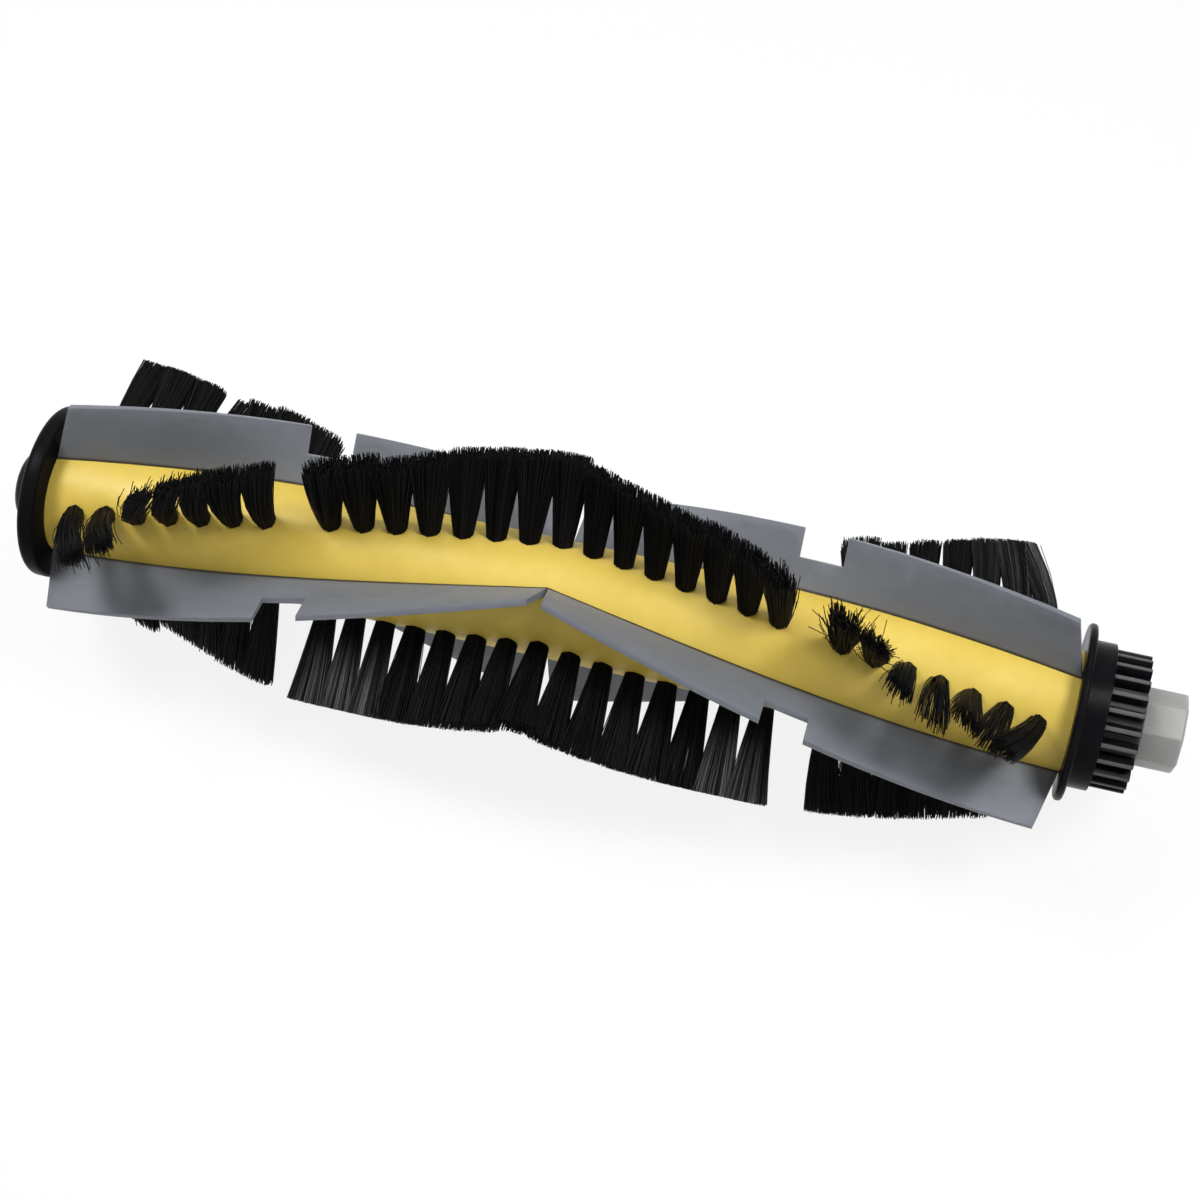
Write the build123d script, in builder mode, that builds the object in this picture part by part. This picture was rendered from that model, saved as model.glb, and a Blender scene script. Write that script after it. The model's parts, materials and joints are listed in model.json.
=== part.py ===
from build123d import *
import os
from math import acos, atan2, copysign, cos, pi, radians, sin, tan

# Roller brush of a robot vacuum: a yellow core with three rows of bristle tufts and
# three rubber blades between them, all laid out as chevrons that open from mid-length.
# X runs along the turning axis, from the left bearing to the gear end, and Z is up as
# the brush lies on a floor. The origin is on the axis, in the middle of the round wall
# of the left bearing. Lengths are in millimetres, angles in degrees.

# Core
core_radius = 9.2
core_length = 158.4
row_count = 3
twist_rate = 1.115
first_row_angle = 48.6
spigot_flats = 9.0
spigot_length = 2.2

# Tufts and their holes
tuft_pitch = 4.95
tuft_end_margin = 4.5
gap_tuft = 8
hole_radius = 1.55
hole_depth = 4.4
tuft_tip_radius = 24.0
tuft_end_radius = 2.5
end_tuft_lean = 7.5
tuft_sides = 6

# Staples that hold the tufts in their holes
staple_thickness = 0.35
staple_height = 1.6

# Rubber blades
blade_tip_radius = 18.55
blade_neck = 1.3
blade_tip_thickness = 1.0
blade_apex_lean = 7.5
blade_lean_rate = 0.17
blade_apex_gap = 0.2
blade_apex_opening = 2.0
blade_end_slant = 2.2
bead_width = 2.7
bead_height = 1.4
bead_floor_radius = 6.1
notch_shift = 1.0
notch_width = 6.8
notch_depth = 4.5
loft_sections = 7
slot_overcut = 1.0

# Left end cap and bearing
cap_radius = 13.56
cap_thickness = 2.9
cap_round = 1.2
cap_recess = 0.6
bearing_radius = 5.7
bearing_wall = 2.2
bearing_round = 1.7
bearing_end = 1.2
bearing_hub_radius = 5.0
bearing_hub_length = 0.5

# Drive end: flange, collar and gear in one piece, and the bush that turns on the axle
flange_radius = 13.4
flange_thickness = 1.2
collar_radius = 11.1
collar_length = 3.3
gear_module = 0.8
gear_teeth = 24
gear_width = 5.3
pressure_angle = 20.0
gear_turn = 0.0
web_recess_depth = 1.6
web_rim = 1.3
web_boss_radius = 3.4
bush_radius = 6.0
bush_length = 6.1
bush_sides = 8
bush_turn = -14.2
bush_chamfer = 0.35
bush_end = 1.2

# Steel axle
axle_radius = 1.5
axle_chamfer = 0.3
axle_end_gap = 0.2

# Clearances
press_gap = 0.02
running_gap = 0.05
slot_gap = 0.1
end_gap = 0.3
recess_gap = 0.4
edge_break = 0.3

# Places along the axis
bearing_inner = bearing_wall / 2
bearing_outer = -bearing_wall / 2 - bearing_round
bearing_hub_end = bearing_inner + bearing_hub_length
cap_outer = bearing_hub_end + end_gap - cap_recess
core_left = cap_outer + cap_thickness
core_right = core_left + core_length
apex = core_left + core_length / 2
flange_outer = core_right + flange_thickness
gear_inner = flange_outer + collar_length
gear_outer = gear_inner + gear_width
bush_inner = gear_outer + end_gap
bush_outer = bush_inner + bush_length
blade_half_length = core_length / 2 - press_gap
tufts_each_side = int((core_length / 2 - tuft_end_margin) / tuft_pitch)
notch_middle = gap_tuft * tuft_pitch - notch_shift
row_step = 360 / row_count

os.makedirs("parts", exist_ok=True)


def save(part, name):
    part.label = name
    export_step(part, f"parts/{name}.step")


def chevron_angle(apex_angle, distance):
    # The angle grows by the same amount for each millimetre away from mid-length.
    return apex_angle + twist_rate * abs(distance)


def section_plane(distance, angle):
    # A plane across the axis. Its own X points outward at the angle, its Y the way round.
    outward = (0, cos(radians(angle)), sin(radians(angle)))
    return Plane(origin=(apex + distance, 0, 0), x_dir=outward, z_dir=(1, 0, 0))


def tuft_lean(step):
    # Middle tufts stand straight. Past the gap they lean back towards mid-length, the
    # last one the most.
    past_gap = max(0, abs(step) - gap_tuft) / (tufts_each_side - gap_tuft)
    return -copysign(end_tuft_lean * past_gap**2, step)


def tuft_plane(step, row_angle):
    # A plane on the core's axis. Its Z runs along the tuft, its X across the row.
    angle = radians(chevron_angle(row_angle, step * tuft_pitch))
    lean = radians(tuft_lean(step))
    outward = Vector(0, cos(angle), sin(angle))
    around = Vector(0, -sin(angle), cos(angle))
    along = outward * cos(lean) + Vector(1, 0, 0) * sin(lean)
    hole_mouth = Vector(apex + step * tuft_pitch, 0, 0) + outward * core_radius
    return Plane(origin=hole_mouth, x_dir=around, z_dir=along)


row_angles = [first_row_angle + row_step * row for row in range(row_count)]
blade_angles = [angle + row_step / 2 for angle in row_angles]
row_names = "abcdefgh"[:row_count]
groups = {
    "left": range(-tufts_each_side, -gap_tuft),
    "middle": range(1 - gap_tuft, gap_tuft),
    "right": range(gap_tuft + 1, tufts_each_side + 1),
}
all_steps = [step for steps in groups.values() for step in steps]


# Rubber blades, two halves in each row
def bead_and_neck(clearance):
    # The part of a blade that sits in the core, with a clearance all round for its slot.
    bead = bead_width / 2 + clearance
    neck = blade_neck / 2 + clearance
    floor = bead_floor_radius - clearance
    shoulder = bead_floor_radius + bead_height + clearance
    return bead, neck, floor, shoulder


def blade_section(distance):
    # Bead in the slot, neck through the core's wall, and the blade out to its tip.
    bead, neck, floor, shoulder = bead_and_neck(0)
    lean = radians(blade_apex_lean - blade_lean_rate * distance)
    tip = Vector(blade_tip_radius * cos(lean), blade_tip_radius * sin(lean))
    slope = atan2(tip.Y, tip.X - core_radius)
    side = Vector(-sin(slope), cos(slope)) * (blade_tip_thickness / 2)
    return [
        (floor, -bead),
        (shoulder, -bead),
        (shoulder, -neck),
        (core_radius, -neck),
        (tip.X - side.X, tip.Y - side.Y),
        (tip.X + side.X, tip.Y + side.Y),
        (core_radius, neck),
        (shoulder, neck),
        (shoulder, bead),
        (floor, bead),
    ]


def slot_section(distance):
    # The slot runs out through the core's surface.
    bead, neck, floor, shoulder = bead_and_neck(slot_gap)
    return [
        (floor, -bead),
        (shoulder, -bead),
        (shoulder, -neck),
        (core_radius + slot_overcut, -neck),
        (core_radius + slot_overcut, neck),
        (shoulder, neck),
        (shoulder, bead),
        (floor, bead),
    ]


def twisted_bar(section, reach):
    # Lofts a section from mid-length towards the gear while it turns with the chevron.
    with BuildPart() as bar:
        for index in range(loft_sections):
            distance = reach * index / (loft_sections - 1)
            with BuildSketch(section_plane(distance, chevron_angle(0, distance))):
                with BuildLine():
                    Polyline(*section(distance), close=True)
                make_face()
        loft()
    return bar.part


def blade_trim():
    # Ring-shaped cutter: the V at mid-length, the guard notch and the slanted end.
    blade_height = blade_tip_radius - core_radius
    outside = blade_tip_radius + edge_break
    share = (outside - core_radius) / blade_height
    near = apex + blade_apex_gap / 2
    far = apex + blade_half_length
    notch_floor = blade_tip_radius - notch_depth
    with BuildPart() as ring:
        with BuildSketch():
            with BuildLine():
                Polyline(
                    (apex, bead_floor_radius / 2),
                    (near, bead_floor_radius / 2),
                    (near, core_radius),
                    (near + blade_apex_opening / 2 * share, outside),
                    (apex, outside),
                    close=True,
                )
            make_face()
            with BuildLine():
                Polyline(
                    (far, core_radius),
                    (far + edge_break, core_radius),
                    (far + edge_break, outside),
                    (far - blade_end_slant * share, outside),
                    close=True,
                )
            make_face()
            with Locations((apex + notch_middle, (notch_floor + outside) / 2)):
                Rectangle(notch_width, outside - notch_floor)
        revolve(axis=Axis.X)
    return ring.part


def rolled(angles):
    # Turns about the brush's axis, for what is made once and placed in each row.
    return [Location((0, 0, 0), (angle, 0, 0)) for angle in angles]


middle_plane = Plane.YZ.offset(apex)
with BuildPart() as right_blade:
    add(twisted_bar(blade_section, blade_half_length))
    add(blade_trim(), mode=Mode.SUBTRACT)
with BuildPart() as left_blade:
    mirror(right_blade.part, about=middle_plane)
for row_name, blade_angle in zip(row_names, blade_angles):
    for half_name, half in {"left": left_blade, "right": right_blade}.items():
        with BuildPart() as blade:
            with Locations(rolled([blade_angle])):
                add(half.part)
        save(blade.part, f"blade_{row_name}_{half_name}")


# Yellow core, with its blade slots, tuft holes, axle bore and the two end spigots
with BuildPart() as right_slot:
    add(twisted_bar(slot_section, core_length / 2 + edge_break))
with BuildPart() as left_slot:
    mirror(right_slot.part, about=middle_plane)
tuft_planes = {
    (row_name, step): tuft_plane(step, row_angle)
    for row_name, row_angle in zip(row_names, row_angles)
    for step in all_steps
}
with BuildPart() as hole:
    with BuildSketch(Plane.XY.offset(-hole_depth)):
        RegularPolygon(radius=hole_radius, side_count=tuft_sides)
    extrude(amount=hole_depth + hole_radius)
spigot_end = core_left - spigot_length
with BuildPart() as core:
    with BuildSketch(Plane.YZ.offset(core_left)):
        Circle(core_radius)
    extrude(amount=core_length)
    with BuildSketch(Plane.YZ.offset(spigot_end)):
        RegularPolygon(radius=spigot_flats / 2, side_count=6, major_radius=False)
    extrude(amount=core_length + 2 * spigot_length)
    with Locations(rolled(blade_angles)):
        add(left_slot.part, mode=Mode.SUBTRACT)
        add(right_slot.part, mode=Mode.SUBTRACT)
    with Locations(*tuft_planes.values()):
        add(hole.part, mode=Mode.SUBTRACT)
    with BuildSketch(Plane.YZ.offset(spigot_end)):
        Circle(axle_radius + press_gap)
    extrude(amount=core_length + 2 * spigot_length, mode=Mode.SUBTRACT)
save(core.part, "core")


# Bristle tufts, each standing on the staple that pins it at the bottom of its hole
tuft_reach = tuft_tip_radius - core_radius
tuft_root_depth = hole_depth - staple_height - 2 * press_gap
tuft_mouth_radius = hole_radius - running_gap
tuft_spread = (tuft_end_radius - tuft_mouth_radius) / tuft_reach
with BuildPart() as tuft:
    with BuildSketch(Plane.XY.offset(-tuft_root_depth)):
        root_radius = tuft_mouth_radius - tuft_spread * tuft_root_depth
        RegularPolygon(radius=root_radius, side_count=tuft_sides)
    with BuildSketch(Plane.XY.offset(tuft_reach)):
        RegularPolygon(radius=tuft_end_radius, side_count=tuft_sides)
    loft()
with BuildPart() as staple:
    with BuildSketch(Plane.XY.offset(press_gap - hole_depth)):
        Rectangle(2 * tuft_mouth_radius - staple_thickness, staple_thickness)
    extrude(amount=staple_height)
for row_name in row_names:
    for group_name, steps in groups.items():
        with BuildPart() as bristles:
            with Locations(*[tuft_planes[row_name, step] for step in steps]):
                add(tuft.part)
        save(bristles.part, f"bristles_{row_name}_{group_name}")
    with BuildPart() as staples:
        with Locations(*[tuft_planes[row_name, step] for step in all_steps]):
            add(staple.part)
    save(staples.part, f"staples_{row_name}")


# Left end cap, pressed on the core's spigot, with a recess for the bearing's hub
with BuildPart() as cap:
    with BuildSketch(Plane.YZ.offset(cap_outer)):
        Circle(cap_radius)
    extrude(amount=cap_thickness)
    fillet(cap.edges().filter_by(GeomType.CIRCLE).sort_by(Axis.X)[0], cap_round)
    chamfer(cap.edges().filter_by(GeomType.CIRCLE).sort_by(Axis.X)[-1], edge_break)
    with BuildSketch(Plane.YZ.offset(cap_outer)):
        Circle(bearing_hub_radius + recess_gap)
    extrude(amount=cap_recess, mode=Mode.SUBTRACT)
    with BuildSketch(Plane.YZ.offset(core_left)):
        RegularPolygon(radius=spigot_flats / 2 + press_gap, side_count=6, major_radius=False)
    extrude(amount=-spigot_length - press_gap, mode=Mode.SUBTRACT)
    with BuildSketch(Plane.YZ.offset(cap_outer)):
        Circle(axle_radius + end_gap)
    extrude(amount=cap_thickness, mode=Mode.SUBTRACT)
save(cap.part, "left_end_cap")


# Left bearing, a round cap with a hub and a blind bore that turns on the axle
with BuildPart() as bearing:
    with BuildSketch(Plane.YZ.offset(bearing_outer)):
        Circle(bearing_radius)
    extrude(amount=bearing_inner - bearing_outer)
    fillet(bearing.edges().filter_by(GeomType.CIRCLE).sort_by(Axis.X)[0], bearing_round)
    with BuildSketch(Plane.YZ.offset(bearing_inner)):
        Circle(bearing_hub_radius)
    extrude(amount=bearing_hub_length)
    with BuildSketch(Plane.YZ.offset(bearing_outer + bearing_end)):
        Circle(axle_radius + running_gap)
    extrude(amount=bearing_hub_end - bearing_outer - bearing_end, mode=Mode.SUBTRACT)
save(bearing.part, "left_bearing")


# Drive gear, moulded in one piece with the hair-guard flange and the collar
pitch_radius = gear_module * gear_teeth / 2
tip_radius = pitch_radius + gear_module
tooth_root_radius = pitch_radius - 1.25 * gear_module
base_radius = pitch_radius * cos(radians(pressure_angle))


def involute(angle):
    return tan(angle) - angle


def flank_point(radius, tooth_angle, side):
    # A point of the involute flank, measured round from the middle of its tooth.
    roll = acos(base_radius / radius)
    half = pi / 2 / gear_teeth + involute(radians(pressure_angle)) - involute(roll)
    turn = radians(tooth_angle) + side * half
    return (radius * cos(turn), radius * sin(turn))


def tooth_outline(tooth_angle):
    # Root to tip on one flank, over the tip, and down the other flank.
    middle_radius = (base_radius + tip_radius) / 2
    start, end = (flank_point(base_radius, tooth_angle, side) for side in (-1, 1))
    top_left, top_right = (flank_point(tip_radius, tooth_angle, side) for side in (-1, 1))
    inside = 0.9 * tooth_root_radius / base_radius
    Line((start[0] * inside, start[1] * inside), start)
    ThreePointArc(start, flank_point(middle_radius, tooth_angle, -1), top_left)
    Line(top_left, top_right)
    ThreePointArc(top_right, flank_point(middle_radius, tooth_angle, 1), end)
    Line(end, (end[0] * inside, end[1] * inside))
    Line((end[0] * inside, end[1] * inside), (start[0] * inside, start[1] * inside))


with BuildPart() as gear:
    with BuildSketch(Plane.YZ.offset(core_right)):
        Circle(flange_radius)
    extrude(amount=flange_thickness)
    with BuildSketch(Plane.YZ.offset(flange_outer)):
        Circle(collar_radius)
    extrude(amount=collar_length)
    with BuildSketch(Plane.YZ.offset(gear_inner)):
        Circle(tooth_root_radius)
        for tooth in range(gear_teeth):
            with BuildLine():
                tooth_outline(gear_turn + tooth * 360 / gear_teeth)
            make_face()
    extrude(amount=gear_width)
    with BuildSketch(Plane.YZ.offset(gear_outer)):
        Circle(tooth_root_radius - web_rim)
        Circle(web_boss_radius, mode=Mode.SUBTRACT)
    extrude(amount=-web_recess_depth, mode=Mode.SUBTRACT)
    with BuildSketch(Plane.YZ.offset(core_right)):
        RegularPolygon(radius=spigot_flats / 2 + press_gap, side_count=6, major_radius=False)
    extrude(amount=spigot_length + press_gap, mode=Mode.SUBTRACT)
    with BuildSketch(Plane.YZ.offset(core_right)):
        Circle(axle_radius + end_gap)
    extrude(amount=gear_outer - core_right, mode=Mode.SUBTRACT)
    rims = gear.edges().filter_by(GeomType.CIRCLE)
    chamfer(rims.filter_by(lambda edge: abs(edge.radius - flange_radius) < 0.01), edge_break)
save(gear.part, "drive_gear")


# Right bush, an eight-sided bearing block with a blind bore that turns on the axle
with BuildPart() as bush:
    with BuildSketch(Plane.YZ.offset(bush_inner)):
        RegularPolygon(radius=bush_radius, side_count=bush_sides, rotation=bush_turn)
    extrude(amount=bush_length)
    chamfer(bush.faces().sort_by(Axis.X)[-1].edges(), bush_chamfer)
    with BuildSketch(Plane.YZ.offset(bush_inner)):
        Circle(axle_radius + running_gap)
    extrude(amount=bush_length - bush_end, mode=Mode.SUBTRACT)
save(bush.part, "right_bush")


# Steel axle, pressed through the whole core
axle_left = bearing_outer + bearing_end + axle_end_gap
axle_right = bush_outer - bush_end - axle_end_gap
with BuildPart() as axle:
    with BuildSketch(Plane.YZ.offset(axle_left)):
        Circle(axle_radius)
    extrude(amount=axle_right - axle_left)
    chamfer(axle.edges().filter_by(GeomType.CIRCLE), axle_chamfer)
save(axle.part, "axle")
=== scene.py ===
import json
import math
import random

import bmesh
import bpy
from mathutils import Matrix, Vector


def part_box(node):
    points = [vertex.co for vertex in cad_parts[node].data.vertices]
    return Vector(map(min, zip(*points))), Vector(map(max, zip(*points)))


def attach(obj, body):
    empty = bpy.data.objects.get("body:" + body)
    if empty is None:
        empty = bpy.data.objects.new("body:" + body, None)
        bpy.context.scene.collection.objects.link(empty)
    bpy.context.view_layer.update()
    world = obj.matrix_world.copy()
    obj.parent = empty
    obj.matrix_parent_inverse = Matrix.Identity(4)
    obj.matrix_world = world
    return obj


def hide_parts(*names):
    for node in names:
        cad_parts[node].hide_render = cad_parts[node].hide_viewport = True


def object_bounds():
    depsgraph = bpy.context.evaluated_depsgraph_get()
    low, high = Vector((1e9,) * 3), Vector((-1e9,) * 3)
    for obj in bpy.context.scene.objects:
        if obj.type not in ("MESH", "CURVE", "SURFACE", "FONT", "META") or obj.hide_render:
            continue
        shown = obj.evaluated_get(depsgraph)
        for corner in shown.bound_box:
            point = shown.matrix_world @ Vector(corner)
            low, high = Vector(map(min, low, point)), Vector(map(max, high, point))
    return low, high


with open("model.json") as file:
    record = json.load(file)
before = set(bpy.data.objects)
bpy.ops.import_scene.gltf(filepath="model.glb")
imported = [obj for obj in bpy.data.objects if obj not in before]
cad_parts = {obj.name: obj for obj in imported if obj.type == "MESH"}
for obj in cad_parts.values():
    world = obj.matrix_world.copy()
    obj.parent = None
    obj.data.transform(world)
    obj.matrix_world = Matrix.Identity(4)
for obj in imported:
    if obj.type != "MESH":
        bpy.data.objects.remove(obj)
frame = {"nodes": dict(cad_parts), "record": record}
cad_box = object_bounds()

# The brush's own layout, in millimetres and degrees. What the frame holds is read from it.
MM = 0.001
TWIST_RATE = 1.115
FIRST_ROW_ANGLE = 48.6
ROW_STEP = 120.0
TUFT_PITCH = 4.95
GAP_TUFT = 8
TUFTS_EACH_SIDE = 15
END_TUFT_LEAN = 7.5
TUFT_TIP_RADIUS = 23.9
GEAR_WIDTH = 5.3
TUFT_GROUPS = {
    "left": range(-TUFTS_EACH_SIDE, -GAP_TUFT),
    "middle": range(1 - GAP_TUFT, GAP_TUFT),
    "right": range(GAP_TUFT + 1, TUFTS_EACH_SIDE + 1),
}
ROWS = {"a": 0, "b": 1, "c": 2}
HALVES = ("left", "right")

# Merging and edges of the pieces that keep the CAD form, in millimetres and degrees. The last
# two say how near a corner is to the core's round wall, and how nearly its face points
# outwards, as a cosine, where it is shaded as part of that wall.
MERGE_DISTANCE = 0.002
FLAT_ANGLE = 0.5
BEVELLED_ANGLE = 40.0
SHARP_ANGLE = 35.0
WALL_TOLERANCE = 0.02
WALL_FACING = 0.96

# Filaments of one tuft, with their sizes in millimetres
FILAMENTS = 300
FILAMENT_POINTS = 5
FILAMENT_SIDES = 3
FILAMENT_RADIUS = 0.08
MOUTH_RADIUS = 1.42
TIP_SPREAD_ALONG = 3.0
TIP_SPREAD_ACROSS = 1.95
TIP_SURPLUS = 0.9
ROOT_DEPTH = 1.2
UNEVENNESS = 0.10
LOOSE_REACH = 3.6

# Squareness of the field of tips, from 0 for an oval to 1 for a rectangle, and the shortest
# trim of a tip, as a share of the tip circle
TIP_SQUARENESS = 0.7
SHORTEST_TRIM = 0.994
GOLDEN_ANGLE = math.pi * (3 - math.sqrt(5))

# Stray filaments: a high power keeps most of them near the tuft, and they bow by a share
STRAY_POWER = 4.0
STRAY_BOW = 0.35
BOW_HEIGHT = 0.5

# Tones of the filaments: black ones differ a little, and some carry a painted sheen, pale in
# streaks and between two heights, as shares of the filament's length
BLACK_SPREAD = 0.07
STREAK_SCALE = 1100.0
STREAK_NOISE = (0.38, 0.60)
FAINTEST_STREAK = 0.4
PALE_HEIGHTS = (0.25, 0.65)

# Random streams of the filaments, as steps from the group's seed
STREAMS = {"wander": 1, "trim": 2, "bow": 3, "tone": 4, "kept": 5, "stray": 6, "streak": 7}

# Random change of one tuft's bend, in millimetres, and of its width
SHIFT_JITTER = 0.15
SWING_JITTER = 0.12
SPLAY_JITTER = (0.95, 1.04)

# A tuft as new. Its tips' bend is in millimetres along the brush and round it, then come its
# width at the tips, the share of stray filaments, the share of filaments left and the share of
# painted sheen, a grey that stands for light caught on the filaments.
UNWORN = {"bend": (0.0, 0.0), "splay": 1.0, "loose": 0.10, "kept": 1.0, "painted_sheen": 0.0}

# What use has changed on single tufts, and the painted sheen on some, counted from mid-length
WEAR_AND_SHEEN = {
    "a": {
        -15: {"bend": (3.7, 2.0), "splay": 0.68, "loose": 0.8, "kept": 0.8},
        -14: {"bend": (3.6, 1.4), "splay": 0.68, "loose": 0.7, "kept": 0.85},
        -13: {"bend": (3.9, -5.2), "splay": 0.55, "loose": 0.6, "kept": 0.9},
        -12: {"bend": (3.1, -5.5), "splay": 0.62, "loose": 0.45},
        -11: {"bend": (2.0, -5.1), "splay": 0.75, "loose": 0.35},
        -10: {"bend": (0.9, -3.8), "splay": 0.85, "loose": 0.25},
        -9: {"bend": (0.8, -3.6), "splay": 0.8},
        -7: {"bend": (0.5, -2.0), "loose": 0.3},
        -6: {"bend": (0.0, -1.4)},
        -5: {"bend": (0.1, -0.1)},
        -4: {"bend": (0.2, -0.4)},
        -3: {"bend": (0.2, -1.3)},
        -2: {"bend": (0.1, -1.1)},
        -1: {"bend": (0.1, -0.2)},
        0: {"bend": (0.0, 0.9)},
        1: {"bend": (0.0, 1.6)},
        2: {"bend": (0.0, 1.8)},
        3: {"bend": (0.0, 1.8)},
        4: {"bend": (0.0, 1.4)},
        5: {"bend": (-0.2, 0.4)},
        6: {"bend": (-0.4, 0.1)},
        7: {"bend": (-0.6, 0.2), "loose": 0.45},
        9: {"bend": (0.2, 0.1), "splay": 0.85, "loose": 1.0},
        10: {"bend": (0.4, 0.5), "splay": 0.8, "loose": 0.8, "kept": 0.9},
        11: {"bend": (0.0, 3.8), "splay": 0.7, "loose": 0.5, "kept": 0.6},
        12: {"bend": (0.5, 5.0), "splay": 0.8, "loose": 0.3, "kept": 0.3},
        13: {"bend": (0.5, 1.3), "splay": 0.85, "kept": 0.5},
        14: {"bend": (-0.4, 1.4), "splay": 0.85, "kept": 0.4},
        15: {"bend": (-2.6, -0.3), "splay": 0.75, "kept": 0.5},
    },
    "b": {
        -13: {"bend": (-0.3, 2.8)},
        -12: {"bend": (-0.8, 3.4)},
        -11: {"bend": (-1.3, 3.6)},
        -10: {"bend": (-1.5, 3.1)},
        -9: {"bend": (-1.1, 2.6)},
        -7: {"bend": (-0.2, -1.4), "splay": 1.08, "painted_sheen": 0.9},
        -6: {"painted_sheen": 1.0},
        -5: {"painted_sheen": 0.9},
        6: {"painted_sheen": 1.0},
        7: {"bend": (0.4, -1.2), "painted_sheen": 0.9},
        9: {"bend": (2.0, 0.2)},
        10: {"bend": (1.8, -0.2)},
        11: {"bend": (1.9, -0.4)},
        12: {"bend": (1.9, -0.6)},
        13: {"bend": (1.9, -0.8)},
        14: {"bend": (1.8, -1.3)},
    },
    "c": {
        -15: {"bend": (0.9, -2.2), "splay": 0.78},
        -14: {"bend": (0.0, -0.6), "splay": 0.8},
        -13: {"bend": (-0.2, -1.0), "splay": 0.85},
        -12: {"bend": (1.3, -2.4), "splay": 0.6, "kept": 0.4},
        -11: {"bend": (-0.1, -0.1)},
        -10: {"bend": (-0.1, 1.8)},
        -9: {"bend": (-0.3, 1.5)},
        7: {"bend": (-0.5, -1.4)},
        9: {"bend": (-1.4, 2.6)},
        10: {"bend": (-1.4, 1.0), "splay": 0.78},
        11: {"bend": (-1.0, 1.0), "splay": 0.76},
        12: {"bend": (-0.8, 1.4), "splay": 0.76},
        13: {"bend": (-1.3, 1.5), "splay": 0.78, "painted_sheen": 0.3},
        14: {"bend": (-2.3, 0.9), "splay": 0.8, "loose": 0.3, "painted_sheen": 0.7},
        15: {"bend": (-4.9, -0.4), "splay": 0.6, "loose": 0.4, "kept": 0.75, "painted_sheen": 1.0},
    },
}

# Mottle: scale of the finer noise against the broad one, share of the broad one, range kept
MOTTLE_FINER = 6.0
MOTTLE_BROAD_SHARE = 0.7
MOTTLE_NOISE = (0.35, 0.65)

# Grain: depth in millimetres, scale of the uneven roughness against the grain's, range kept
GRAIN_DEPTH = 0.2
GRAIN_BROADER = 0.08
GRAIN_NOISE = (0.3, 0.7)

# World and floor, in metres. The floor keeps the brush's shadow within SHADOW_REACH, and is
# plain white past WHITE_REACH.
WORLD_LIGHT = 0.22
FLOOR_REACH = 3.0
FLOOR_COLOUR = (0.86, 0.86, 0.86, 1)
FLOOR_ROUGHNESS = 0.9
NEAR_WHITE = 0.86
SHADOW_REACH = 0.3
WHITE_REACH = 0.7

# Camera, as the photograph was taken, in degrees and millimetres
CAMERA_AZIMUTH = 19.37
CAMERA_ELEVATION = 65.76
CAMERA_ROLL = -5.55
CAMERA_DISTANCE = 362.0
CAMERA_TARGET = (90.22, 1.18, 0.50)
CAMERA_LENS = 71.3
CAMERA_SENSOR = 36.0
NEAREST_SEEN = 10.0

core_low, core_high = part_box("core")
APEX_X = (core_low.x + core_high.x) / 2
CORE_RADIUS = (core_high.z - core_low.z) / 2
TEETH_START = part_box("drive_gear")[1].x / MM - GEAR_WIDTH

# Lamps, in metres, watts and degrees
MIDDLE = (APEX_X, 0, 0)
KEY = {"size": (0.20, 0.20), "power": 0.29, "spread": 55.0}
LAMPS = {
    "key_left": {"place": (-0.25, 0.10, 0.56), "aim": (-0.02, 0, 0), **KEY},
    "key_right": {"place": (0.41, 0.08, 0.56), "aim": (0.19, 0, 0), **KEY},
    "back": {"place": (0.04, 0.55, 0.50), "aim": MIDDLE, "size": (0.4, 0.3), "power": 1.1},
    "fill": {"place": (0.25, -0.60, 0.40), "aim": MIDDLE, "size": (0.5, 0.4), "power": 0.6},
}


# Small helpers for node trees
def add_node(tree, kind, values=None, **settings):
    # Adds a node, sets its properties, and fills inputs given by name or number.
    node = tree.nodes.new(kind)
    for name, value in settings.items():
        setattr(node, name, value)
    for key, value in (values or {}).items():
        if isinstance(value, bpy.types.NodeSocket):
            tree.links.new(value, node.inputs[key])
        else:
            node.inputs[key].default_value = value
    return node


def math_node(tree, operation, first, second=0.0):
    return add_node(tree, "ShaderNodeMath", {0: first, 1: second}, operation=operation).outputs[0]


def product(tree, first, second):
    return math_node(tree, "MULTIPLY", first, second)


def vector_node(tree, operation, first, second=(0.0, 0.0, 0.0)):
    values = {0: first, 1: second}
    return add_node(tree, "ShaderNodeVectorMath", values, operation=operation).outputs[0]


def length_of(tree, vector):
    node = add_node(tree, "ShaderNodeVectorMath", {0: vector}, operation="LENGTH")
    return node.outputs["Value"]


def scaled(tree, vector, factor):
    values = {0: vector, "Scale": factor}
    return add_node(tree, "ShaderNodeVectorMath", values, operation="SCALE").outputs[0]


def added(tree, *vectors):
    total = vectors[0]
    for vector in vectors[1:]:
        total = vector_node(tree, "ADD", total, vector)
    return total


def ranged(tree, value, start, end, low=0.0, high=1.0, shape="LINEAR"):
    # Runs from low to high while the value runs from start to end, and stops there.
    values = {"Value": value, "From Min": start, "From Max": end, "To Min": low, "To Max": high}
    node = add_node(tree, "ShaderNodeMapRange", values, interpolation_type=shape)
    return node.outputs["Result"]


def blended(tree, share, first, second):
    # A blend of two colours, each one a socket or four numbers.
    values = {0: share, 6: first, 7: second}
    return add_node(tree, "ShaderNodeMix", values, data_type="RGBA").outputs[2]


def noise(tree, place, scale, detail=2.0):
    values = {"Vector": place, "Scale": scale, "Detail": detail}
    return add_node(tree, "ShaderNodeTexNoise", values).outputs["Fac"]


def own_place(tree):
    return tree.nodes.new("ShaderNodeTexCoord").outputs["Object"]


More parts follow.
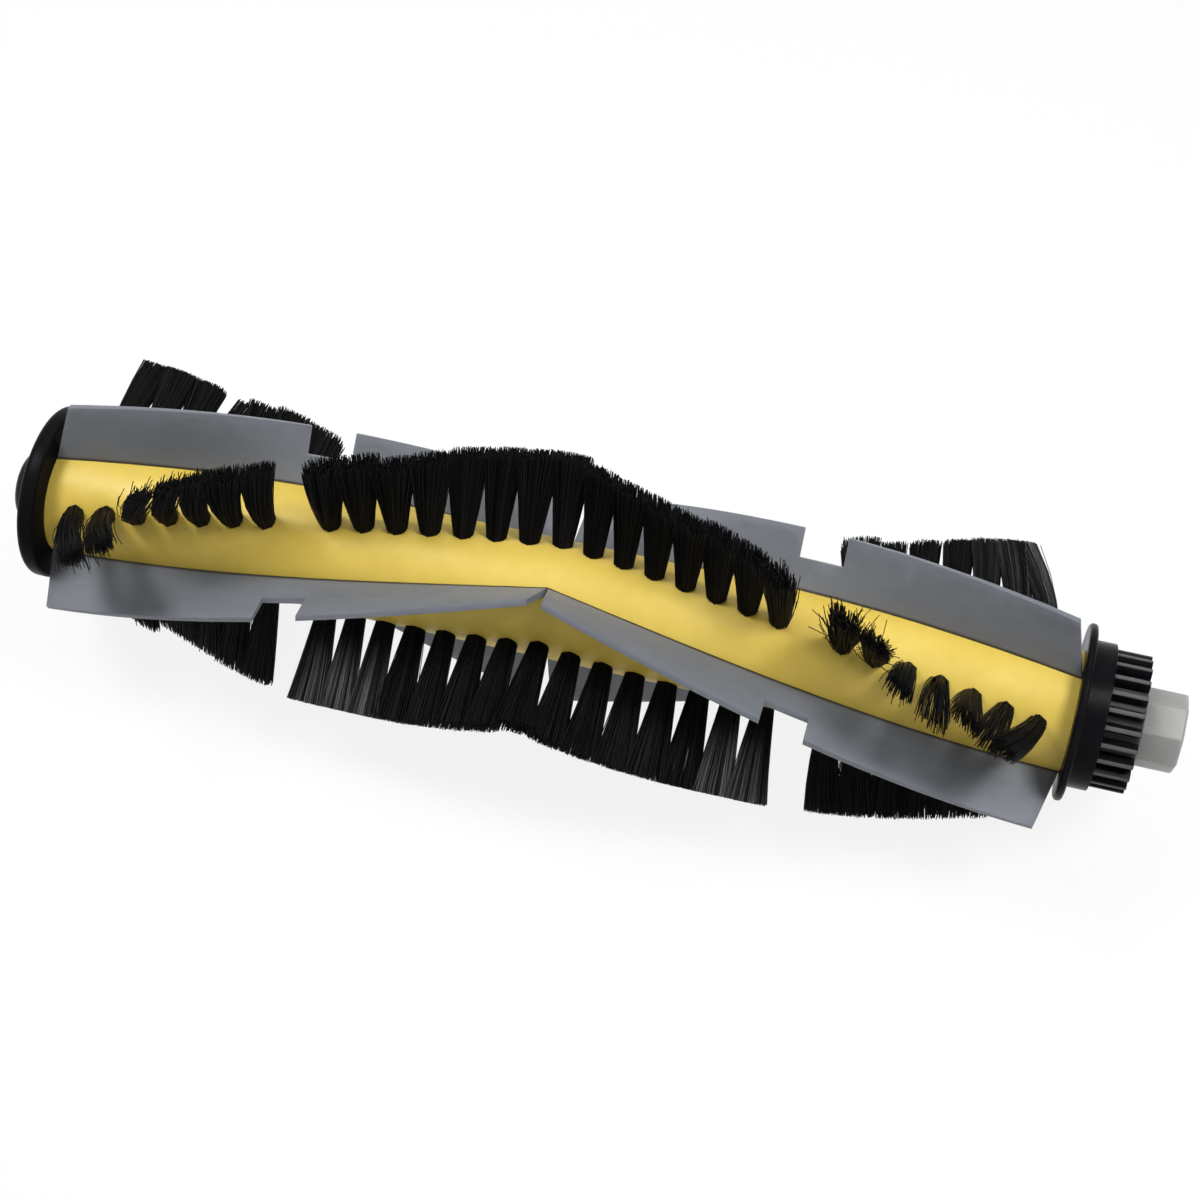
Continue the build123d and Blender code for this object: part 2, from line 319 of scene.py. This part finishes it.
def seen_directly(tree):
    # One where the camera, a reflection or glass looks, and zero for the light that is shed.
    path = tree.nodes.new("ShaderNodeLightPath").outputs
    seen = math_node(tree, "MAXIMUM", path["Is Camera Ray"], path["Is Glossy Ray"])
    return math_node(tree, "MAXIMUM", seen, path["Is Transmission Ray"])


# Shader groups that several finishes share
def new_group(name, inputs, outputs):
    group = bpy.data.node_groups.new(name, "ShaderNodeTree")
    for label, kind, value in inputs:
        socket = group.interface.new_socket(label, in_out="INPUT", socket_type=kind)
        socket.default_value = value
    for label, kind in outputs:
        group.interface.new_socket(label, in_out="OUTPUT", socket_type=kind)
    entry = group.nodes.new("NodeGroupInput").outputs
    leave = group.nodes.new("NodeGroupOutput").inputs
    return group, entry, leave


def make_mottle_group():
    # Soft uneven tone, from two sizes of noise on the piece's own coordinates.
    group, entry, leave = new_group(
        "soft_mottle",
        [
            ("Vector", "NodeSocketVector", (0, 0, 0)),
            ("Scale", "NodeSocketFloat", 60.0),
            ("Tone A", "NodeSocketColor", (0.5, 0.5, 0.5, 1)),
            ("Tone B", "NodeSocketColor", (0.4, 0.4, 0.4, 1)),
        ],
        [("Color", "NodeSocketColor")],
    )
    finer_scale = product(group, entry["Scale"], MOTTLE_FINER)
    broad = noise(group, entry["Vector"], entry["Scale"], detail=3.0)
    broad = product(group, broad, MOTTLE_BROAD_SHARE)
    finer = noise(group, entry["Vector"], finer_scale)
    finer = product(group, finer, 1.0 - MOTTLE_BROAD_SHARE)
    spread = ranged(group, math_node(group, "ADD", broad, finer), *MOTTLE_NOISE)
    tones = blended(group, spread, entry["Tone A"], entry["Tone B"])
    group.links.new(tones, leave["Color"])
    return group


def make_grain_group():
    # Fine moulding grain: a bumped normal and a small change of roughness.
    group, entry, leave = new_group(
        "fine_grain",
        [
            ("Vector", "NodeSocketVector", (0, 0, 0)),
            ("Scale", "NodeSocketFloat", 1500.0),
            ("Height", "NodeSocketFloat", 0.1),
            ("Roughness Low", "NodeSocketFloat", 0.3),
            ("Roughness High", "NodeSocketFloat", 0.4),
        ],
        [("Normal", "NodeSocketVector"), ("Roughness", "NodeSocketFloat")],
    )
    grain = noise(group, entry["Vector"], entry["Scale"], detail=3.0)
    values = {"Strength": entry["Height"], "Distance": GRAIN_DEPTH * MM, "Height": grain}
    bump = add_node(group, "ShaderNodeBump", values).outputs["Normal"]
    broad = noise(group, entry["Vector"], product(group, entry["Scale"], GRAIN_BROADER))
    limits = {"low": entry["Roughness Low"], "high": entry["Roughness High"]}
    rough = ranged(group, broad, *GRAIN_NOISE, **limits)
    group.links.new(bump, leave["Normal"])
    group.links.new(rough, leave["Roughness"])
    return group


def make_band_group():
    # A mask that rises between two distances from the brush's own axis, the X axis.
    group, entry, leave = new_group(
        "band_by_radius",
        [
            ("Vector", "NodeSocketVector", (0, 0, 0)),
            ("Start", "NodeSocketFloat", 0.0),
            ("End", "NodeSocketFloat", 1.0),
            ("After X", "NodeSocketFloat", -1.0),
        ],
        [("Mask", "NodeSocketFloat")],
    )
    apart = add_node(group, "ShaderNodeSeparateXYZ", {0: entry["Vector"]}).outputs
    past = math_node(group, "GREATER_THAN", apart["X"], entry["After X"])
    across = vector_node(group, "MULTIPLY", entry["Vector"], (0.0, 1.0, 1.0))
    radius = length_of(group, across)
    rise = ranged(group, radius, entry["Start"], entry["End"], shape="SMOOTHSTEP")
    group.links.new(product(group, rise, past), leave["Mask"])
    return group


MOTTLE = make_mottle_group()
GRAIN = make_grain_group()
BAND = make_band_group()


def shader_of(tree):
    return tree.nodes["Principled BSDF"]


def new_material(name):
    material = bpy.data.materials.new(name)
    material.use_nodes = True
    tree = material.node_tree
    return material, tree, shader_of(tree)


def stretched(tree, place, factors):
    return add_node(tree, "ShaderNodeMapping", {"Vector": place, "Scale": factors}).outputs[0]


def put_mottle(tree, place, scale, tones):
    first, second = tones
    values = {"Vector": place, "Scale": scale, "Tone A": (*first, 1), "Tone B": (*second, 1)}
    mottle = add_node(tree, "ShaderNodeGroup", values, node_tree=MOTTLE).outputs
    tree.links.new(mottle["Color"], shader_of(tree).inputs["Base Color"])


def put_grain(tree, place, scale, height, roughness):
    low, high = roughness
    values = {
        "Vector": place,
        "Scale": scale,
        "Height": height,
        "Roughness Low": low,
        "Roughness High": high,
    }
    grain = add_node(tree, "ShaderNodeGroup", values, node_tree=GRAIN).outputs
    for label in ("Normal", "Roughness"):
        tree.links.new(grain[label], shader_of(tree).inputs[label])


def put_band(tree, place, start, end, colour, after=-1000.0):
    # Lays a tone over the base colour where the band's mask rises, sizes in millimetres.
    values = {"Vector": place, "Start": start * MM, "End": end * MM, "After X": after * MM}
    band = add_node(tree, "ShaderNodeGroup", values, node_tree=BAND).outputs
    base = shader_of(tree).inputs["Base Color"]
    under = base.links[0].from_socket
    tree.links.new(blended(tree, band["Mask"], under, (*colour, 1)), base)


# Finishes
BLACK_TONES = ((0.006, 0.0058, 0.007), (0.0035, 0.0035, 0.0045))
# Painted highlights: pale tones for the glints on the gear's tooth crests and roots
CREST_GLINT_TONE = (0.10, 0.10, 0.104)
ROOT_GLINT_TONE = (0.05, 0.05, 0.052)


def yellow_plastic():
    material, tree, shader = new_material("yellow_plastic")
    place = own_place(tree)
    put_mottle(tree, place, scale=70.0, tones=((0.70, 0.52, 0.095), (0.62, 0.445, 0.062)))
    put_grain(tree, place, scale=1800.0, height=0.10, roughness=(0.42, 0.54))
    shader.inputs["Specular IOR Level"].default_value = 0.4
    shader.inputs["Subsurface Weight"].default_value = 0.06
    shader.inputs["Subsurface Radius"].default_value = (0.8, 0.5, 0.1)
    shader.inputs["Subsurface Scale"].default_value = 0.001
    return material


def grey_rubber():
    # Faint streaks run along the strips, which carry a painted shade where they leave their
    # slots.
    material, tree, shader = new_material("grey_rubber")
    place = own_place(tree)
    streaks = stretched(tree, place, (0.25, 1.0, 1.0))
    put_mottle(tree, streaks, scale=150.0, tones=((0.146, 0.158, 0.184), (0.118, 0.128, 0.150)))
    # Painted shade: a dark band along each strip's root stands for the shadow in the slot's gap.
    put_band(tree, place, start=9.75, end=9.35, colour=(0.03, 0.028, 0.022))
    put_grain(tree, place, scale=2600.0, height=0.18, roughness=(0.50, 0.64))
    shader.inputs["Sheen Weight"].default_value = 0.15
    return material


def black_bristle():
    # Each filament carries its own tone, from black to the grey of a painted sheen on the tips.
    material, tree, shader = new_material("black_bristle")
    tone = add_node(tree, "ShaderNodeAttribute", attribute_name="tone").outputs["Fac"]
    colour = blended(tree, tone, (0.0025, 0.0025, 0.003, 1), (0.17, 0.17, 0.175, 1))
    tree.links.new(colour, shader.inputs["Base Color"])
    rough = ranged(tree, tone, 0.0, 1.0, low=0.45, high=0.6)
    tree.links.new(rough, shader.inputs["Roughness"])
    shader.inputs["Specular IOR Level"].default_value = 0.06
    return material


def black_plastic():
    material, tree, shader = new_material("black_plastic")
    place = own_place(tree)
    put_mottle(tree, place, scale=120.0, tones=BLACK_TONES)
    put_grain(tree, place, scale=1500.0, height=0.08, roughness=(0.28, 0.38))
    shader.inputs["Specular IOR Level"].default_value = 0.022
    return material


def black_gear():
    # The crests and the roots of the teeth carry painted highlights, paler than their flanks,
    # that stand for glints.
    material, tree, shader = new_material("black_gear")
    place = own_place(tree)
    put_mottle(tree, place, scale=120.0, tones=BLACK_TONES)
    put_band(tree, place, start=10.2, end=10.4, colour=CREST_GLINT_TONE, after=TEETH_START)
    put_band(tree, place, start=8.85, end=8.65, colour=ROOT_GLINT_TONE, after=TEETH_START)
    put_grain(tree, place, scale=1500.0, height=0.08, roughness=(0.24, 0.34))
    shader.inputs["Specular IOR Level"].default_value = 0.03
    return material


def black_bearing():
    material, tree, shader = new_material("black_bearing")
    place = own_place(tree)
    put_mottle(tree, place, scale=160.0, tones=((0.008, 0.008, 0.009), (0.005, 0.005, 0.006)))
    put_grain(tree, place, scale=2000.0, height=0.15, roughness=(0.28, 0.40))
    shader.inputs["Specular IOR Level"].default_value = 0.10
    return material


def milky_nylon():
    material, tree, shader = new_material("milky_nylon")
    place = own_place(tree)
    put_mottle(tree, place, scale=140.0, tones=((0.29, 0.287, 0.28), (0.25, 0.247, 0.24)))
    put_grain(tree, place, scale=1600.0, height=0.15, roughness=(0.34, 0.46))
    shader.inputs["Subsurface Weight"].default_value = 0.6
    shader.inputs["Subsurface Radius"].default_value = (1.0, 1.0, 0.95)
    shader.inputs["Subsurface Scale"].default_value = 0.003
    return material


def drawn_steel():
    # Drawing lines run along the axle.
    material, tree, shader = new_material("drawn_steel")
    lines = stretched(tree, own_place(tree), (0.05, 1.0, 1.0))
    put_mottle(tree, lines, scale=900.0, tones=((0.60, 0.60, 0.61), (0.50, 0.50, 0.51)))
    put_grain(tree, lines, scale=4000.0, height=0.1, roughness=(0.24, 0.36))
    shader.inputs["Metallic"].default_value = 1.0
    return material


# Objects, their meshes and their bodies
def body_of(node):
    for body, nodes in frame["record"]["behaviour"]["bodies"].items():
        if node in nodes:
            return body
    return "root"


def in_scene(name, data):
    thing = bpy.data.objects.new(name, data)
    bpy.context.scene.collection.objects.link(thing)
    return thing


def baked_mesh(piece):
    # The piece's mesh with its modifiers applied.
    evaluated = piece.evaluated_get(bpy.context.evaluated_depsgraph_get())
    return bpy.data.meshes.new_from_object(evaluated)


# Pieces that keep the CAD form: a merged copy with its small edges broken
def round_normals(mesh, radius):
    # Long thin faces on a cylinder about the X axis are shaded as one smooth round wall.
    normals = [tuple(corner.vector) for corner in mesh.corner_normals]
    for polygon in mesh.polygons:
        for loop in polygon.loop_indices:
            place = mesh.vertices[mesh.loops[loop].vertex_index].co
            outward = Vector((0, place.y, place.z))
            on_wall = abs(outward.length - radius) < WALL_TOLERANCE * MM
            if on_wall and polygon.normal.dot(outward.normalized()) > WALL_FACING:
                normals[loop] = tuple(outward.normalized())
    mesh.normals_split_custom_set(normals)


def merged_copy(mesh, name):
    # A CAD node's mesh is loose triangles, so they are joined and flat faces made whole.
    copy = mesh.copy()
    copy.name = name
    merged = bmesh.new()
    merged.from_mesh(copy)
    bmesh.ops.remove_doubles(merged, verts=merged.verts, dist=MERGE_DISTANCE * MM)
    bmesh.ops.dissolve_limit(
        merged,
        angle_limit=math.radians(FLAT_ANGLE),
        verts=merged.verts,
        edges=merged.edges,
    )
    merged.to_mesh(copy)
    merged.free()
    return copy


def dressed(node, material, edge=0.0, segments=2, round_radius=0.0):
    name = f"{node}_shown"
    mesh = merged_copy(frame["nodes"][node].data, name)
    mesh.materials.clear()
    mesh.materials.append(material)
    piece = in_scene(name, mesh)
    if edge:
        bevel = piece.modifiers.new("edge", "BEVEL")
        bevel.width = edge * MM
        bevel.segments = segments
        bevel.limit_method = "ANGLE"
        bevel.angle_limit = math.radians(BEVELLED_ANGLE)
        bevel.use_clamp_overlap = True
    finished = baked_mesh(piece)
    piece.modifiers.clear()
    piece.data = finished
    finished.set_sharp_from_angle(angle=math.radians(SHARP_ANGLE))
    for polygon in finished.polygons:
        polygon.use_smooth = True
    if round_radius:
        round_normals(finished, round_radius)
    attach(piece, body_of(node))
    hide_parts(node)


# Bristle tufts
def tuft_lean(step):
    # Past the gap the holes lean back towards mid-length, the last one the most.
    past_gap = max(0, abs(step) - GAP_TUFT) / (TUFTS_EACH_SIDE - GAP_TUFT)
    return -math.copysign(END_TUFT_LEAN * past_gap**2, step)


def tuft_frame(row, step):
    # The hole's mouth on the core, the way the tuft grows, and the way round the core.
    turn = FIRST_ROW_ANGLE + ROW_STEP * ROWS[row] + TWIST_RATE * abs(step * TUFT_PITCH)
    angle = math.radians(turn)
    lean = math.radians(tuft_lean(step))
    outward = Vector((0, math.cos(angle), math.sin(angle)))
    around = Vector((0, -math.sin(angle), math.cos(angle)))
    mouth = Vector((APEX_X + step * TUFT_PITCH * MM, 0, 0)) + outward * CORE_RADIUS
    along = outward * math.cos(lean) + Vector((1, 0, 0)) * math.sin(lean)
    return mouth, along, around


def tip_slant(step):
    # The row's own slope at the tips, which the oblong of tips follows.
    slope = math.radians(TWIST_RATE) * TUFT_TIP_RADIUS
    return math.copysign(slope, step) if step else 0.0


def tuft_points(name, row, steps):
    # A mesh of bare points, one at each tuft's hole, with what the tuft needs to know.
    chance = random.Random(name)
    frames = [tuft_frame(row, step) for step in steps]
    mesh = bpy.data.meshes.new(f"{name}_points")
    mesh.from_pydata([mouth for mouth, _, _ in frames], [], [])
    for label in ("along", "around", "drift"):
        mesh.attributes.new(label, "FLOAT_VECTOR", "POINT")
    for label in ("splay", "loose", "kept", "painted_sheen", "slant"):
        mesh.attributes.new(label, "FLOAT", "POINT")
    for index, (step, (_, along, around)) in enumerate(zip(steps, frames)):
        values = {**UNWORN, **WEAR_AND_SHEEN[row].get(step, {}), "slant": tip_slant(step)}
        shift, swing = values.pop("bend")
        shift += chance.uniform(-SHIFT_JITTER, SHIFT_JITTER)
        swing += chance.uniform(-SWING_JITTER, SWING_JITTER)
        values["splay"] *= chance.uniform(*SPLAY_JITTER)
        drift = Vector((shift, 0, 0)) * MM + around * swing * MM
        for label, value in (("along", along), ("around", around), ("drift", drift)):
            mesh.attributes[label].data[index].vector = value
        for label, value in values.items():
            mesh.attributes[label].data[index].value = value
    return mesh


# The tree that fills each tuft with filaments
def named(tree, label, kind="FLOAT"):
    node = add_node(tree, "GeometryNodeInputNamedAttribute", {"Name": label}, data_type=kind)
    return node.outputs["Attribute"]


def stored(tree, geometry, label, value, kind="FLOAT"):
    values = {"Geometry": geometry, "Name": label, "Value": value}
    return add_node(tree, "GeometryNodeStoreNamedAttribute", values, data_type=kind).outputs[0]


def stream(tree, entry, name):
    return math_node(tree, "ADD", entry["Seed"], STREAMS[name])


def chance_number(tree, entry, name, low=0.0, high=1.0):
    values = {2: low, 3: high, "Seed": stream(tree, entry, name)}
    return add_node(tree, "FunctionNodeRandomValue", values, data_type="FLOAT").outputs[1]


def chance_vector(tree, entry, name):
    values = {0: (-1, -1, -1), 1: (1, 1, 1), "Seed": stream(tree, entry, name)}
    return add_node(tree, "FunctionNodeRandomValue", values, data_type="FLOAT_VECTOR").outputs[0]


def new_bristle_group():
    tree = bpy.data.node_groups.new("bristle_tufts", "GeometryNodeTree")
    face = tree.interface
    face.new_socket("Geometry", in_out="INPUT", socket_type="NodeSocketGeometry")
    for label, kind in (
        ("Filaments", "NodeSocketInt"),
        ("Mouth Radius", "NodeSocketFloat"),
        ("Spread Along", "NodeSocketFloat"),
        ("Spread Across", "NodeSocketFloat"),
        ("Tip Circle", "NodeSocketFloat"),
        ("Reach", "NodeSocketFloat"),
        ("Root Depth", "NodeSocketFloat"),
        ("Filament Radius", "NodeSocketFloat"),
        ("Unevenness", "NodeSocketFloat"),
        ("Loose Reach", "NodeSocketFloat"),
        ("Seed", "NodeSocketInt"),
        ("Material", "NodeSocketMaterial"),
    ):
        face.new_socket(label, in_out="INPUT", socket_type=kind)
    face.new_socket("Geometry", in_out="OUTPUT", socket_type="NodeSocketGeometry")
    entry = tree.nodes.new("NodeGroupInput").outputs
    leave = tree.nodes.new("NodeGroupOutput").inputs
    return tree, entry, leave


def filament_points(tree, entry):
    # One numbered point for each filament of each tuft, without those that use has taken.
    values = {"Geometry": entry["Geometry"], "Amount": entry["Filaments"]}
    copies = add_node(tree, "GeometryNodeDuplicateElements", values, domain="POINT").outputs
    points = stored(tree, copies["Geometry"], "number", copies["Duplicate Index"], "INT")
    luck = chance_number(tree, entry, "kept")
    gone = math_node(tree, "GREATER_THAN", luck, named(tree, "kept"))
    values = {"Geometry": points, "Selection": gone}
    return add_node(tree, "GeometryNodeDeleteGeometry", values, domain="POINT").outputs[0]


def trimmed(tree, entry, tip):
    # Tips are cut to a circle about the brush's axis, which is the X axis.
    apart = add_node(tree, "ShaderNodeSeparateXYZ", {0: tip}).outputs
    flat = add_node(tree, "ShaderNodeCombineXYZ", {"Y": apart["Y"], "Z": apart["Z"]}).outputs[0]
    cut = math_node(tree, "DIVIDE", entry["Tip Circle"], length_of(tree, flat))
    cut = math_node(tree, "MINIMUM", cut, 1.0)
    cut = product(tree, cut, chance_number(tree, entry, "trim", low=SHORTEST_TRIM))
    straight = add_node(tree, "ShaderNodeCombineXYZ", {"X": apart["X"]}).outputs[0]
    return added(tree, scaled(tree, flat, cut), straight)


def filament_ends(tree, entry):
    # Root, tip and bow of each filament, in sunflower spacing inside the round hole.
    number = named(tree, "number", "INT")
    share = math_node(tree, "ADD", number, 0.5)
    share = math_node(tree, "SQRT", math_node(tree, "DIVIDE", share, entry["Filaments"]))
    turn = product(tree, number, GOLDEN_ANGLE)
    cosine = math_node(tree, "COSINE", turn)
    sine = math_node(tree, "SINE", turn)
    across_part = product(tree, cosine, share)
    along_part = product(tree, sine, share)
    along = named(tree, "along", "FLOAT_VECTOR")
    around = named(tree, "around", "FLOAT_VECTOR")
    beside = vector_node(tree, "CROSS_PRODUCT", along, around)
    mouth = add_node(tree, "GeometryNodeInputPosition").outputs[0]

    def spoke(across_size, along_size):
        # A filament's place in the tuft, on an oval of the two sizes.
        return added(
            tree,
            scaled(tree, around, product(tree, across_part, across_size)),
            scaled(tree, beside, product(tree, along_part, along_size)),
        )

    root = added(
        tree,
        mouth,
        spoke(entry["Mouth Radius"], entry["Mouth Radius"]),
        scaled(tree, along, product(tree, entry["Root Depth"], -1.0)),
    )

    # Tips that press on the next tuft's tips fill a rounded oblong, slanted as the row is
    across_reach = math_node(tree, "ABSOLUTE", cosine)
    along_reach = math_node(tree, "ABSOLUTE", sine)
    widest = math_node(tree, "MAXIMUM", across_reach, along_reach)
    corner = math_node(tree, "POWER", widest, -TIP_SQUARENESS)
    splayed = product(tree, named(tree, "splay"), corner)
    tip_across = product(tree, entry["Spread Across"], splayed)
    tip_along = product(tree, entry["Spread Along"], splayed)
    slanted = product(tree, product(tree, along_part, tip_along), named(tree, "slant"))

    # Most filaments stay near their place, and a few stray far and bow
    stray = math_node(tree, "POWER", chance_number(tree, entry, "stray"), STRAY_POWER)
    stray = product(tree, stray, named(tree, "loose"))
    stray = product(tree, stray, entry["Loose Reach"])
    wander = math_node(tree, "ADD", stray, entry["Unevenness"])
    bow = math_node(tree, "ADD", product(tree, stray, STRAY_BOW), entry["Unevenness"])
    tip = added(
        tree,
        mouth,
        scaled(tree, along, entry["Reach"]),
        spoke(tip_across, tip_along),
        scaled(tree, around, slanted),
        named(tree, "drift", "FLOAT_VECTOR"),
        scaled(tree, chance_vector(tree, entry, "wander"), wander),
    )
    return root, trimmed(tree, entry, tip), scaled(tree, chance_vector(tree, entry, "bow"), bow)


def filament_tones(tree, entry, tip):
    # A small tone of its own for each filament, and a painted sheen, a grey that comes in
    # streaks.
    shade = product(tree, chance_number(tree, entry, "tone"), BLACK_SPREAD)
    clumps = noise(tree, tip, STREAK_SCALE, detail=1.0)
    streak = ranged(tree, clumps, *STREAK_NOISE)
    streak = product(tree, streak, chance_number(tree, entry, "streak", low=FAINTEST_STREAK))
    return shade, product(tree, named(tree, "painted_sheen"), streak)


def bent_filaments(tree, points):
    # Each filament stands straight in its hole, and its bend grows towards the tip.
    line = add_node(tree, "GeometryNodeCurvePrimitiveLine").outputs[0]
    values = {"Curve": line, "Count": FILAMENT_POINTS}
    strand = add_node(tree, "GeometryNodeResampleCurve", values).outputs[0]
    values = {"Points": points, "Instance": strand}
    placed = add_node(tree, "GeometryNodeInstanceOnPoints", values).outputs[0]
    loose = add_node(tree, "GeometryNodeRealizeInstances", {"Geometry": placed}).outputs[0]
    height = add_node(tree, "GeometryNodeSplineParameter").outputs["Factor"]
    late = product(tree, height, height)
    early = math_node(tree, "SUBTRACT", height, late)
    bulge = math_node(tree, "SINE", product(tree, height, math.pi))
    root = named(tree, "root", "FLOAT_VECTOR")
    path = vector_node(tree, "SUBTRACT", named(tree, "tip", "FLOAT_VECTOR"), root)
    upright = vector_node(tree, "SUBTRACT", path, named(tree, "drift", "FLOAT_VECTOR"))
    bow = named(tree, "bow", "FLOAT_VECTOR")
    where = added(
        tree,
        root,
        scaled(tree, upright, early),
        scaled(tree, path, late),
        scaled(tree, bow, product(tree, bulge, BOW_HEIGHT)),
    )
    values = {"Geometry": loose, "Position": where}
    bent = add_node(tree, "GeometryNodeSetPosition", values).outputs[0]

    # Tufts with a painted sheen turn pale from the middle to the tips, and stay black at the root
    pale = ranged(tree, height, *PALE_HEIGHTS, shape="SMOOTHSTEP")
    pale = product(tree, pale, named(tree, "painted_sheen_tone"))
    return stored(tree, bent, "tone", math_node(tree, "ADD", pale, named(tree, "shade")))


def make_bristle_tree():
    # Fills each tuft with filaments that spread from the hole and end on one circle.
    tree, entry, leave = new_bristle_group()
    root, tip, bow = filament_ends(tree, entry)
    shade, painted_sheen_tone = filament_tones(tree, entry, tip)
    points = filament_points(tree, entry)
    for label, value in (("root", root), ("tip", tip), ("bow", bow)):
        points = stored(tree, points, label, value, "FLOAT_VECTOR")
    for label, value in (("shade", shade), ("painted_sheen_tone", painted_sheen_tone)):
        points = stored(tree, points, label, value)
    curves = bent_filaments(tree, points)
    values = {"Resolution": FILAMENT_SIDES, "Radius": entry["Filament Radius"]}
    profile = add_node(tree, "GeometryNodeCurvePrimitiveCircle", values).outputs[0]
    values = {"Curve": curves, "Profile Curve": profile, "Fill Caps": True}
    strands = add_node(tree, "GeometryNodeCurveToMesh", values).outputs[0]
    real = add_node(tree, "GeometryNodeRealizeInstances", {"Geometry": strands}).outputs[0]
    values = {"Geometry": real, "Material": entry["Material"]}
    painted = add_node(tree, "GeometryNodeSetMaterial", values).outputs[0]
    tree.links.new(painted, leave["Geometry"])
    return tree


BRISTLE_TREE = make_bristle_tree()


def set_input(modifier, label, value):
    for item in BRISTLE_TREE.interface.items_tree:
        if item.in_out == "INPUT" and item.name == label:
            modifier[item.identifier] = value


def bristle_group(row, group, material, seed):
    node = f"bristles_{row}_{group}"
    name = f"tufts_{row}_{group}"
    grower = in_scene(name, tuft_points(name, row, TUFT_GROUPS[group]))
    modifier = grower.modifiers.new("bristles", "NODES")
    modifier.node_group = BRISTLE_TREE
    sizes = {
        "Filaments": FILAMENTS,
        "Mouth Radius": MOUTH_RADIUS * MM,
        "Spread Along": TIP_SPREAD_ALONG * MM,
        "Spread Across": TIP_SPREAD_ACROSS * MM,
        "Tip Circle": TUFT_TIP_RADIUS * MM,
        "Reach": (TUFT_TIP_RADIUS + TIP_SURPLUS) * MM - CORE_RADIUS,
        "Root Depth": ROOT_DEPTH * MM,
        "Filament Radius": FILAMENT_RADIUS * MM,
        "Unevenness": UNEVENNESS * MM,
        "Loose Reach": LOOSE_REACH * MM,
        "Seed": seed,
        "Material": material,
    }
    for label, value in sizes.items():
        set_input(modifier, label, value)
    grown = baked_mesh(grower)
    grower.modifiers.clear()
    grower.data = grown
    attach(grower, body_of(node))
    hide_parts(node)


# Floor, light and camera
def white_to_camera(material):
    # Lifts what the camera and reflections see towards white. Near the brush the shadow stays.
    tree = material.node_tree
    distance = length_of(tree, own_place(tree))
    reach = (SHADOW_REACH, WHITE_REACH)
    white = ranged(tree, distance, *reach, low=NEAR_WHITE, shape="SMOOTHSTEP")
    share = product(tree, seen_directly(tree), white)
    values = {"Color": (1, 1, 1, 1), "Strength": 1.0}
    glow = add_node(tree, "ShaderNodeEmission", values).outputs[0]
    values = {0: share, 1: shader_of(tree).outputs[0], 2: glow}
    mix = add_node(tree, "ShaderNodeMixShader", values).outputs[0]
    tree.links.new(mix, tree.nodes["Material Output"].inputs["Surface"])


def make_floor(height):
    mesh = bpy.data.meshes.new("floor")
    corners = ((-1, -1), (1, -1), (1, 1), (-1, 1))
    places = [(x * FLOOR_REACH, y * FLOOR_REACH, height) for x, y in corners]
    mesh.from_pydata(places, [], [(0, 1, 2, 3)])
    floor = in_scene("floor", mesh)
    material, _, shader = new_material("pale_floor")
    shader.inputs["Base Color"].default_value = FLOOR_COLOUR
    shader.inputs["Roughness"].default_value = FLOOR_ROUGHNESS
    white_to_camera(material)
    mesh.materials.append(material)


def make_world():
    world = bpy.data.worlds.new("studio")
    bpy.context.scene.world = world
    world.use_nodes = True
    tree = world.node_tree
    background = tree.nodes["Background"]
    background.inputs["Color"].default_value = (1.0, 1.0, 1.0, 1)
    lift = product(tree, seen_directly(tree), 1.0 - WORLD_LIGHT)
    strength = math_node(tree, "ADD", lift, WORLD_LIGHT)
    tree.links.new(strength, background.inputs["Strength"])


def area_light(name, place, aim, size, power, spread=180.0):
    data = bpy.data.lights.new(name, "AREA")
    data.spread = math.radians(spread)
    data.shape = "RECTANGLE"
    data.size, data.size_y = size
    data.energy = power
    lamp = in_scene(name, data)
    lamp.location = place
    lamp.rotation_euler = (Vector(aim) - Vector(place)).to_track_quat("-Z", "Y").to_euler()


def make_camera():
    azimuth = math.radians(CAMERA_AZIMUTH)
    elevation = math.radians(CAMERA_ELEVATION)
    roll = math.radians(CAMERA_ROLL)
    level = Vector((math.cos(azimuth), math.sin(azimuth), 0))
    away = Vector((math.sin(azimuth), -math.cos(azimuth), 0))
    back = away * math.cos(elevation) + Vector((0, 0, 1)) * math.sin(elevation)
    right = level * math.cos(roll) + back.cross(level) * math.sin(roll)
    turn = Matrix((right, back.cross(right), back)).transposed().to_4x4()
    place = Vector(CAMERA_TARGET) * MM + back * CAMERA_DISTANCE * MM
    data = bpy.data.cameras.new("photo_view")
    data.sensor_width = CAMERA_SENSOR
    data.lens = CAMERA_LENS
    data.clip_start = NEAREST_SEEN * MM
    camera = in_scene("photo_view", data)
    camera.matrix_world = Matrix.Translation(place) @ turn
    bpy.context.scene.camera = camera


def build_brush():
    rubber = grey_rubber()
    bristle = black_bristle()
    steel = drawn_steel()
    dressed("core", yellow_plastic(), round_radius=CORE_RADIUS)
    for row in ROWS:
        for half in HALVES:
            dressed(f"blade_{row}_{half}", rubber, edge=0.12)
    dressed("left_end_cap", black_plastic(), edge=0.15)
    dressed("left_bearing", black_bearing(), edge=0.12)
    dressed("drive_gear", black_gear(), edge=0.10)
    dressed("right_bush", milky_nylon(), edge=0.20, segments=3)
    for name in ("axle", "staples_a", "staples_b", "staples_c"):
        mesh = frame["nodes"][name].data
        mesh.materials.clear()
        mesh.materials.append(steel)
    for seed, row in enumerate(ROWS):
        for place, group in enumerate(TUFT_GROUPS):
            bristle_group(row, group, bristle, 10 * seed + place)


make_camera()
make_world()
for lamp_name, settings in LAMPS.items():
    area_light(lamp_name, **settings)
make_floor(cad_box[0].z)
build_brush()
bpy.context.scene.view_settings.view_transform = "Standard"
